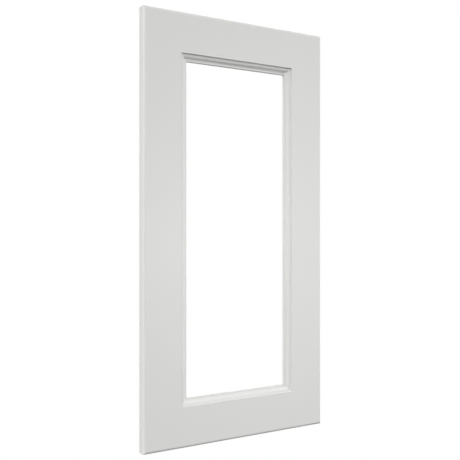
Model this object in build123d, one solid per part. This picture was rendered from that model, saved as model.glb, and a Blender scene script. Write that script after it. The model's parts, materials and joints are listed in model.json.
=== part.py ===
from build123d import *
import os

# Kitchen cabinet door for glazing: two full-height stiles and two rails between them,
# joined with scribed ends and dowels, painted, with an open middle and no glass fitted.
#
# All lengths are millimetres. While the door is drawn, X runs across it from the hinge edge,
# Z up from the bottom edge, and the front face looks towards -Y with the back face at Y = 0.
# Every piece is then moved so that the origin is the centre of the lower hinge cup's mouth.

# Whole door
door_width = 397.0
door_height = 797.0
door_thickness = 20.0
front_edge_radius = 5.0
back_edge_radius = 1.0

# Flat face of each member, from the door's outer edge to the moulding
stile_face = 74.8
rail_face = 74.8

# Moulding stuck on the inner edge of every member: a step down from the face, a narrow
# fillet, an S-shaped ogee and a flat land that ends in the glazing lip
step_depth = 3.0
fillet_width = 2.5
ogee_width = 9.6
ogee_drop = 4.0
land_width = 1.8
lip_thickness = 5.5
lip_nose_radius = 0.5

# Rebate behind the lip, open to the back, that the glass drops into
rebate_width = 10.0

# Fluted dowels, a row of them across each stile and rail joint
dowel_diameter = 8.0
dowel_length = 40.0
dowel_chamfer = 1.0
dowel_flutes = 10
dowel_flute_depth = 0.35
dowel_edge_distance = 23.0
dowel_spacing = 32.0
dowels_per_joint = 2
dowel_side_clearance = 0.05
dowel_end_clearance = 1.0

# Blind borings for 35 mm concealed hinges in the back of the hinge stile
hinge_cup_diameter = 35.0
hinge_cup_depth = 13.0
hinge_cup_edge_distance = 22.5
hinge_cup_end_distance = 100.0

# Sizes that follow from the ones above
moulding_width = fillet_width + ogee_width + land_width
land_depth = step_depth + ogee_drop
lip_back_depth = land_depth + lip_thickness
front_y = -door_thickness
middle_y = front_y / 2


def member_section(face_width):
    """Section of a member in the XY plane, X inwards from the door's edge, front at the bottom."""
    fillet_start = (face_width, front_y + step_depth)
    ogee_start = (face_width + fillet_width, front_y + step_depth)
    ogee_end = (face_width + fillet_width + ogee_width, front_y + land_depth)
    ogee_middle = ((ogee_start[0] + ogee_end[0]) / 2, (ogee_start[1] + ogee_end[1]) / 2)
    opening_edge = face_width + moulding_width
    rebate_wall = opening_edge - rebate_width
    lip_front = (opening_edge, front_y + land_depth)
    lip_back = (opening_edge, front_y + lip_back_depth)
    lip_root = (rebate_wall, front_y + lip_back_depth)
    outline = Polyline((rebate_wall, 0), (0, 0), (0, front_y), (face_width, front_y), fillet_start, ogee_start)
    outline += TangentArc(ogee_start, ogee_middle, tangent=(1, 0))
    outline += TangentArc(ogee_end, ogee_middle, tangent=(-1, 0))
    outline += Polyline(ogee_end, lip_front, lip_back, lip_root, (rebate_wall, 0))
    section = make_face(outline)
    nose = section.vertices().sort_by_distance((*lip_front, 0))[0]
    return fillet(nose, lip_nose_radius)


def finished_outline():
    """Block of the whole door with its front edge rounded over and its back edge eased."""
    corner = (Align.MIN, Align.MAX, Align.MIN)
    block = Box(door_width, door_thickness, door_height, align=corner)
    block = fillet(block.faces().sort_by(Axis.Y)[0].edges(), front_edge_radius)
    return fillet(block.faces().sort_by(Axis.Y)[-1].edges(), back_edge_radius)


def to_far_side(piece):
    """The same piece on the door's other vertical side."""
    return mirror(piece, about=Plane.YZ.offset(door_width / 2))


def to_top(piece):
    """The same piece at the door's other end."""
    return mirror(piece, about=Plane.XY.offset(door_height / 2))


def stile_bar():
    """Stile of one section over its whole height, at the hinge edge."""
    return extrude(member_section(stile_face), door_height)


def rail_bar():
    """Bottom rail between the stiles' faces, with its ends still square."""
    length = door_width - 2 * stile_face
    across = Plane(origin=(door_width - stile_face, 0, 0), x_dir=(0, 0, 1), z_dir=(-1, 0, 0))
    return extrude(across * member_section(rail_face), length)


def across_joint(z):
    """Place of a dowel at height z: its middle on the hinge stile's shoulder, its axis along X."""
    shoulder = stile_face + moulding_width - rebate_width
    return Location((shoulder, middle_y, z), (0, 90, 0))


def dowel_heights():
    """Heights of the dowels in a bottom corner."""
    return [dowel_edge_distance + row * dowel_spacing for row in range(dowels_per_joint)]


def fluted_dowel():
    """Dowel along Z about the origin, with V flutes for the glue and chamfered ends."""
    radius = dowel_diameter / 2
    pin = Cylinder(radius, dowel_length)
    pin = chamfer(pin.edges().filter_by(GeomType.CIRCLE), dowel_chamfer)
    flute_side = dowel_flute_depth * 2**0.5
    flute = Rot(0, 0, 45) * Box(flute_side, flute_side, dowel_length)
    return pin - PolarLocations(radius, dowel_flutes) * flute


def dowel_hole():
    """Clearance for one dowel along Z about the origin, through both members."""
    radius = dowel_diameter / 2 + dowel_side_clearance
    return Cylinder(radius, dowel_length + 2 * dowel_end_clearance)


def in_all_corners(make):
    """What make() gives, at each dowel's place, named by corner and counted from the door's edge."""
    placed = {}
    for row, z in enumerate(dowel_heights(), start=1):
        bottom_left = across_joint(z) * make()
        bottom_right = to_far_side(bottom_left)
        placed[f"bottom_left_dowel_{row}"] = bottom_left
        placed[f"bottom_right_dowel_{row}"] = bottom_right
        placed[f"top_left_dowel_{row}"] = to_top(bottom_left)
        placed[f"top_right_dowel_{row}"] = to_top(bottom_right)
    return placed


def hinge_cups():
    """The two cup borings, sunk into the back face of the hinge stile."""
    into_back = Plane(origin=(hinge_cup_edge_distance, 0, hinge_cup_end_distance), z_dir=(0, -1, 0))
    lower = extrude(into_back * Circle(hinge_cup_diameter / 2), hinge_cup_depth)
    return lower + to_top(lower)


def door_members():
    """The four members, scribed together, edged as one frame and then bored."""
    left = stile_bar()
    right = to_far_side(left)
    bottom = rail_bar() - left - right
    top = to_top(bottom)
    members = {"left_stile": left, "right_stile": right, "bottom_rail": bottom, "top_rail": top}
    outline = finished_outline()
    holes = list(in_all_corners(dowel_hole).values())
    bored = {name: (member & outline) - holes for name, member in members.items()}
    bored["left_stile"] -= hinge_cups()
    return bored


def write(pieces):
    """One STEP file per piece, about the lower hinge cup's mouth."""
    os.makedirs("parts", exist_ok=True)
    about_lower_cup = Location((-hinge_cup_edge_distance, 0, -hinge_cup_end_distance))
    for name, piece in pieces.items():
        export_step(about_lower_cup * piece, f"parts/{name}.step")


write(door_members() | in_all_corners(fluted_dowel))
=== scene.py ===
import bpy
import json
import math
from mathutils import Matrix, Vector


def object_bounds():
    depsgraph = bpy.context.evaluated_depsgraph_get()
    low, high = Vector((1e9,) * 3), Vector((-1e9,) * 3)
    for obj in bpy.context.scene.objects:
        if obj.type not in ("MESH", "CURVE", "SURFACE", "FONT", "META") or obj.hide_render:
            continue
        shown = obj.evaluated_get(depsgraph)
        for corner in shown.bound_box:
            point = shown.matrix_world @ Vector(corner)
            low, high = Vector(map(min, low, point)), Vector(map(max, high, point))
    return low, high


# Painted kitchen cabinet door, framed and unglazed, upright above a white studio ground.
# All lengths are metres, in the part's own frame: X across the door, Y out of its back, Z up.
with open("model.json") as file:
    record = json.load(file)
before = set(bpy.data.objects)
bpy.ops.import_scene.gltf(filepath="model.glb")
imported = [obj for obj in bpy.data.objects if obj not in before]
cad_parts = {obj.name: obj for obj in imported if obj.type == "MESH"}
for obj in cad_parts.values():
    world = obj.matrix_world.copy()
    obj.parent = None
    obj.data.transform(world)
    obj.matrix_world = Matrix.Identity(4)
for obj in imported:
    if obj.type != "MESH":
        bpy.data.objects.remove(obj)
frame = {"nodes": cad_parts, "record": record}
cad_low, cad_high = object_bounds()
door_middle = (Vector(cad_low) + Vector(cad_high)) / 2

MM_PER_M = 1000

# Turn that makes a camera or lamp look level along +Y, at the door's front
FACING_DOOR = math.pi / 2

# Camera, measured from the door's hinge edge and front face, level with the door's middle
CAMERA_LEFT_OF_DOOR = 0.5088
CAMERA_IN_FRONT = 1.1409
CAMERA_TURN = math.radians(31.045)
SENSOR_WIDTH = 36.0
LENS = 54.95

# Studio ground, pure white to the camera
FLOOR_BELOW_DOOR = 0.15
FLOOR_SIDE = 60.0
WHITE = (1.0, 1.0, 1.0, 1.0)

# A soft glow falls off with this power of the cosine of the angle from its middle
GLOW_SHARPNESS = 12.0

# Detail of a noise with soft clouds and no fine structure of its own
CLOUD_DETAIL = 2.0

# Satin paint
PAINT_LIGHT = (0.705, 0.705, 0.690, 1.0)
PAINT_DARK = (0.695, 0.695, 0.680, 1.0)
PAINT_CLOUD_SCALE = 9.0
PAINT_ROUGHNESS_LOW = 0.38
PAINT_ROUGHNESS_HIGH = 0.46
PAINT_ROUGHNESS_SCALE = 45.0
ORANGE_PEEL_SCALE = 420.0
ORANGE_PEEL_DETAIL = 1.0
ORANGE_PEEL_HEIGHT = 0.000012

# Raw fibreboard, bared where the hinge cups are bored after painting
FIBRE_LIGHT = (0.50, 0.36, 0.22, 1.0)
FIBRE_DARK = (0.30, 0.20, 0.11, 1.0)
FIBRE_SCALE = 900.0
FIBRE_DETAIL = 6.0
FIBRE_HEIGHT = 0.00015
FIBRE_ROUGHNESS = 0.9
CUP_MARGIN = 0.0002

# Bare beech of the dowels, its grain along X
BEECH_LIGHT = (0.66, 0.47, 0.30, 1.0)
BEECH_DARK = (0.50, 0.32, 0.18, 1.0)
BEECH_RING_SCALE = 350.0
BEECH_RING_DETAIL = 4.0
BEECH_STRETCH = (0.08, 1.0, 1.0)
BEECH_ROUGHNESS = 0.62
BEECH_PORE_HEIGHT = 0.00005
FLECK_COLOUR = (0.34, 0.19, 0.10, 1.0)
FLECK_SCALE = 700.0
FLECK_SIZE = 0.28


def new_material(name):
    """A plain node material, its nodes, its links and its Principled shader."""
    material = bpy.data.materials.new(name)
    material.use_nodes = True
    tree = material.node_tree
    return material, tree.nodes, tree.links, tree.nodes["Principled BSDF"]


def object_place(nodes):
    """Place in the part's own frame, which is the same for every piece."""
    return nodes.new("ShaderNodeTexCoord").outputs["Object"]


def noise(nodes, links, place, scale, detail=CLOUD_DETAIL):
    """Noise from 0 to 1 over a place, at a scale in waves per metre."""
    node = nodes.new("ShaderNodeTexNoise")
    node.inputs["Scale"].default_value = scale
    node.inputs["Detail"].default_value = detail
    links.new(place, node.inputs["Vector"])
    return node.outputs["Fac"]


def number_between(nodes, links, factor, low, high):
    """A factor of 0 to 1 spread over low to high."""
    node = nodes.new("ShaderNodeMapRange")
    node.inputs["To Min"].default_value = low
    node.inputs["To Max"].default_value = high
    links.new(factor, node.inputs["Value"])
    return node.outputs["Result"]


def colour_between(nodes, links, factor, first, second):
    """Mix of two colours, each a value or an output of another node."""
    node = nodes.new("ShaderNodeMix")
    node.data_type = "RGBA"
    links.new(factor, node.inputs["Factor"])
    for name, colour in (("A", first), ("B", second)):
        socket = next(s for s in node.inputs if s.name == name and s.type == "RGBA")
        if isinstance(colour, tuple):
            socket.default_value = colour
        else:
            links.new(colour, socket)
    return next(s for s in node.outputs if s.type == "RGBA")


def math_node(nodes, links, operation, first, second):
    """One operation on two numbers, each a value or an output of another node."""
    node = nodes.new("ShaderNodeMath")
    node.operation = operation
    for socket, value in zip(node.inputs, (first, second)):
        if isinstance(value, (int, float)):
            socket.default_value = value
        else:
            links.new(value, socket)
    return node.outputs["Value"]


def bump(nodes, links, height, distance):
    """Relief of a given height in metres, as a normal."""
    node = nodes.new("ShaderNodeBump")
    node.inputs["Distance"].default_value = distance
    links.new(height, node.inputs["Height"])
    return node.outputs["Normal"]


def paint_finish(nodes, links, place):
    """Colour, roughness and relief of sprayed satin paint."""
    cloud = noise(nodes, links, place, PAINT_CLOUD_SCALE)
    colour = colour_between(nodes, links, cloud, PAINT_DARK, PAINT_LIGHT)
    gloss = noise(nodes, links, place, PAINT_ROUGHNESS_SCALE)
    roughness = number_between(nodes, links, gloss, PAINT_ROUGHNESS_LOW, PAINT_ROUGHNESS_HIGH)
    peel = noise(nodes, links, place, ORANGE_PEEL_SCALE, ORANGE_PEEL_DETAIL)
    return colour, roughness, bump(nodes, links, peel, ORANGE_PEEL_HEIGHT)


def satin_paint():
    """Light grey satin paint."""
    material, nodes, links, shader = new_material("satin_paint")
    colour, roughness, normal = paint_finish(nodes, links, object_place(nodes))
    links.new(colour, shader.inputs["Base Color"])
    links.new(roughness, shader.inputs["Roughness"])
    links.new(normal, shader.inputs["Normal"])
    return material


def inside_cup(nodes, links, place, cup):
    """1 inside a hinge cup that is bored along Y, and 0 outside it."""
    radius = cup["dims"]["r_mm"] / MM_PER_M + CUP_MARGIN
    depth = cup["dims"]["length_mm"] / MM_PER_M + CUP_MARGIN
    offset = nodes.new("ShaderNodeVectorMath")
    offset.operation = "SUBTRACT"
    offset.inputs[1].default_value = cup["pos_m"]
    links.new(place, offset.inputs[0])
    split = nodes.new("ShaderNodeSeparateXYZ")
    links.new(offset.outputs["Vector"], split.inputs[0])
    across = math_node(nodes, links, "MULTIPLY", split.outputs["X"], split.outputs["X"])
    up = math_node(nodes, links, "MULTIPLY", split.outputs["Z"], split.outputs["Z"])
    from_axis = math_node(nodes, links, "ADD", across, up)
    near_axis = math_node(nodes, links, "LESS_THAN", from_axis, radius**2)
    below_mouth = math_node(nodes, links, "LESS_THAN", split.outputs["Y"], -CUP_MARGIN)
    above_floor = math_node(nodes, links, "GREATER_THAN", split.outputs["Y"], -depth)
    in_depth = math_node(nodes, links, "MULTIPLY", below_mouth, above_floor)
    return math_node(nodes, links, "MULTIPLY", near_axis, in_depth)


def bored_paint(cups):
    """The same paint, with raw fibreboard on the walls and floors of the hinge cups."""
    material, nodes, links, shader = new_material("satin_paint_bored")
    place = object_place(nodes)
    colour, roughness, normal = paint_finish(nodes, links, place)
    masks = [inside_cup(nodes, links, place, cup) for cup in cups]
    bared = masks[0]
    for mask in masks[1:]:
        bared = math_node(nodes, links, "MAXIMUM", bared, mask)
    fibres = noise(nodes, links, place, FIBRE_SCALE, FIBRE_DETAIL)
    fibre_colour = colour_between(nodes, links, fibres, FIBRE_DARK, FIBRE_LIGHT)
    shown_colour = colour_between(nodes, links, bared, colour, fibre_colour)
    links.new(shown_colour, shader.inputs["Base Color"])
    rough_gain = math_node(nodes, links, "SUBTRACT", FIBRE_ROUGHNESS, roughness)
    rough_added = math_node(nodes, links, "MULTIPLY", rough_gain, bared)
    shown_roughness = math_node(nodes, links, "ADD", roughness, rough_added)
    links.new(shown_roughness, shader.inputs["Roughness"])
    relief = nodes.new("ShaderNodeBump")
    relief.inputs["Distance"].default_value = FIBRE_HEIGHT
    links.new(math_node(nodes, links, "MULTIPLY", fibres, bared), relief.inputs["Height"])
    links.new(normal, relief.inputs["Normal"])
    links.new(relief.outputs["Normal"], shader.inputs["Normal"])
    return material


def bare_beech():
    """Turned beech with its short dark flecks."""
    material, nodes, links, shader = new_material("bare_beech")
    stretch = nodes.new("ShaderNodeMapping")
    stretch.inputs["Scale"].default_value = BEECH_STRETCH
    links.new(object_place(nodes), stretch.inputs["Vector"])
    along_grain = stretch.outputs["Vector"]
    rings = noise(nodes, links, along_grain, BEECH_RING_SCALE, BEECH_RING_DETAIL)
    wood = colour_between(nodes, links, rings, BEECH_DARK, BEECH_LIGHT)
    flecks = nodes.new("ShaderNodeTexVoronoi")
    flecks.inputs["Scale"].default_value = FLECK_SCALE
    links.new(along_grain, flecks.inputs["Vector"])
    fleck = math_node(nodes, links, "LESS_THAN", flecks.outputs["Distance"], FLECK_SIZE)
    shown_colour = colour_between(nodes, links, fleck, wood, FLECK_COLOUR)
    links.new(shown_colour, shader.inputs["Base Color"])
    links.new(bump(nodes, links, rings, BEECH_PORE_HEIGHT), shader.inputs["Normal"])
    shader.inputs["Roughness"].default_value = BEECH_ROUGHNESS
    return material


def dress(node, material):
    """Puts one material on a CAD node."""
    node.data.materials.clear()
    node.data.materials.append(material)


def dress_door():
    """Every node in the finish of its record slot, the bored stile with its bare cups."""
    record = frame["record"]
    cups = [mount for mount in record["mounts"] if mount["kind"] == "bore"]
    finishes = {"paint": satin_paint(), "beech": bare_beech()}
    for part in record["subparts"]:
        dress(frame["nodes"][part["node"]], finishes[part["material_slot"]])
    dress(frame["nodes"]["left_stile"], bored_paint(cups))


def place_in_scene(name, data):
    """A new object of the scene that holds some data."""
    thing = bpy.data.objects.new(name, data)
    bpy.context.scene.collection.objects.link(thing)
    return thing


def add_camera():
    """Level camera to the left of the door, turned towards it."""
    data = bpy.data.cameras.new("camera")
    data.sensor_width = SENSOR_WIDTH
    data.lens = LENS
    camera = place_in_scene("camera", data)
    camera.location = (
        cad_low[0] - CAMERA_LEFT_OF_DOOR,
        cad_low[1] - CAMERA_IN_FRONT,
        door_middle.z,
    )
    camera.rotation_euler = (FACING_DOOR, 0, -CAMERA_TURN)
    bpy.context.scene.camera = camera


def towards(left, up):
    """Direction so many degrees left of the door's front and so many above level."""
    azimuth, elevation = math.radians(left), math.radians(up)
    level = math.cos(elevation)
    return Vector((-math.sin(azimuth) * level, -math.cos(azimuth) * level, math.sin(elevation)))


def glow(nodes, links, left, up, strength):
    """Brightness of one soft glow of the studio round the door."""
    dot = nodes.new("ShaderNodeVectorMath")
    dot.operation = "DOT_PRODUCT"
    dot.inputs[1].default_value = towards(left, up)
    links.new(nodes.new("ShaderNodeTexCoord").outputs["Generated"], dot.inputs[0])
    facing = math_node(nodes, links, "MAXIMUM", dot.outputs["Value"], 0.0)
    falloff = math_node(nodes, links, "POWER", facing, GLOW_SHARPNESS)
    return math_node(nodes, links, "MULTIPLY", falloff, strength)


def studio_light(nodes, links):
    """Brightness of all the glows together."""
    glows = [
        glow(nodes, links, left=30, up=40, strength=5.4),
        glow(nodes, links, left=90, up=15, strength=3.0),
        glow(nodes, links, left=125, up=0, strength=2.5),
        glow(nodes, links, left=-30, up=-8, strength=1.0),
        glow(nodes, links, left=-60, up=15, strength=1.8),
        glow(nodes, links, left=-90, up=0, strength=2.4),
        glow(nodes, links, left=-125, up=-10, strength=1.6),
        glow(nodes, links, left=-160, up=25, strength=2.0),
    ]
    total = glows[0]
    for light in glows[1:]:
        total = math_node(nodes, links, "ADD", total, light)
    return total


def add_surroundings():
    """Studio that lights the door softly and that the camera sees as pure white."""
    world = bpy.data.worlds.new("studio")
    world.use_nodes = True
    nodes, links = world.node_tree.nodes, world.node_tree.links
    seen = nodes.new("ShaderNodeLightPath").outputs["Is Camera Ray"]
    colour = colour_between(nodes, links, seen, studio_light(nodes, links), WHITE)
    links.new(colour, nodes["Background"].inputs["Color"])
    bpy.context.scene.world = world
    bpy.context.scene.view_settings.view_transform = "Standard"


def add_softbox(name, left, up, distance, side, power):
    """Square lamp in front of the door, facing it squarely."""
    data = bpy.data.lights.new(name, "AREA")
    data.size = side
    data.energy = power
    light = place_in_scene(name, data)
    light.location = door_middle + towards(left, up) * distance
    light.rotation_euler = (FACING_DOOR, 0, 0)
    light.visible_camera = False


def one_sided_white(name):
    """Material that is pure white from the front and clear from behind."""
    material = bpy.data.materials.new(name)
    material.use_nodes = True
    nodes, links = material.node_tree.nodes, material.node_tree.links
    nodes.clear()
    white = nodes.new("ShaderNodeEmission")
    white.inputs["Color"].default_value = WHITE
    clear = nodes.new("ShaderNodeBsdfTransparent")
    behind = nodes.new("ShaderNodeNewGeometry").outputs["Backfacing"]
    mix = nodes.new("ShaderNodeMixShader")
    links.new(behind, mix.inputs["Fac"])
    links.new(white.outputs["Emission"], mix.inputs[1])
    links.new(clear.outputs["BSDF"], mix.inputs[2])
    output = nodes.new("ShaderNodeOutputMaterial")
    links.new(mix.outputs["Shader"], output.inputs["Surface"])
    return material


def add_floor():
    """Wide white floor that only the camera sees, and only from above."""
    half = FLOOR_SIDE / 2
    height = cad_low[2] - FLOOR_BELOW_DOOR
    corners = [
        (door_middle.x + across, along, height)
        for across, along in ((-half, -half), (half, -half), (half, half), (-half, half))
    ]
    mesh = bpy.data.meshes.new("floor")
    mesh.from_pydata(corners, [], [(0, 1, 2, 3)])
    mesh.materials.append(one_sided_white("floor"))
    floor = place_in_scene("floor", mesh)
    floor.visible_diffuse = False
    floor.visible_glossy = False
    floor.visible_transmission = False
    floor.visible_shadow = False


dress_door()
add_camera()
add_surroundings()
add_floor()
add_softbox("front_softbox", left=-10, up=-3, distance=0.55, side=0.24, power=0.48)
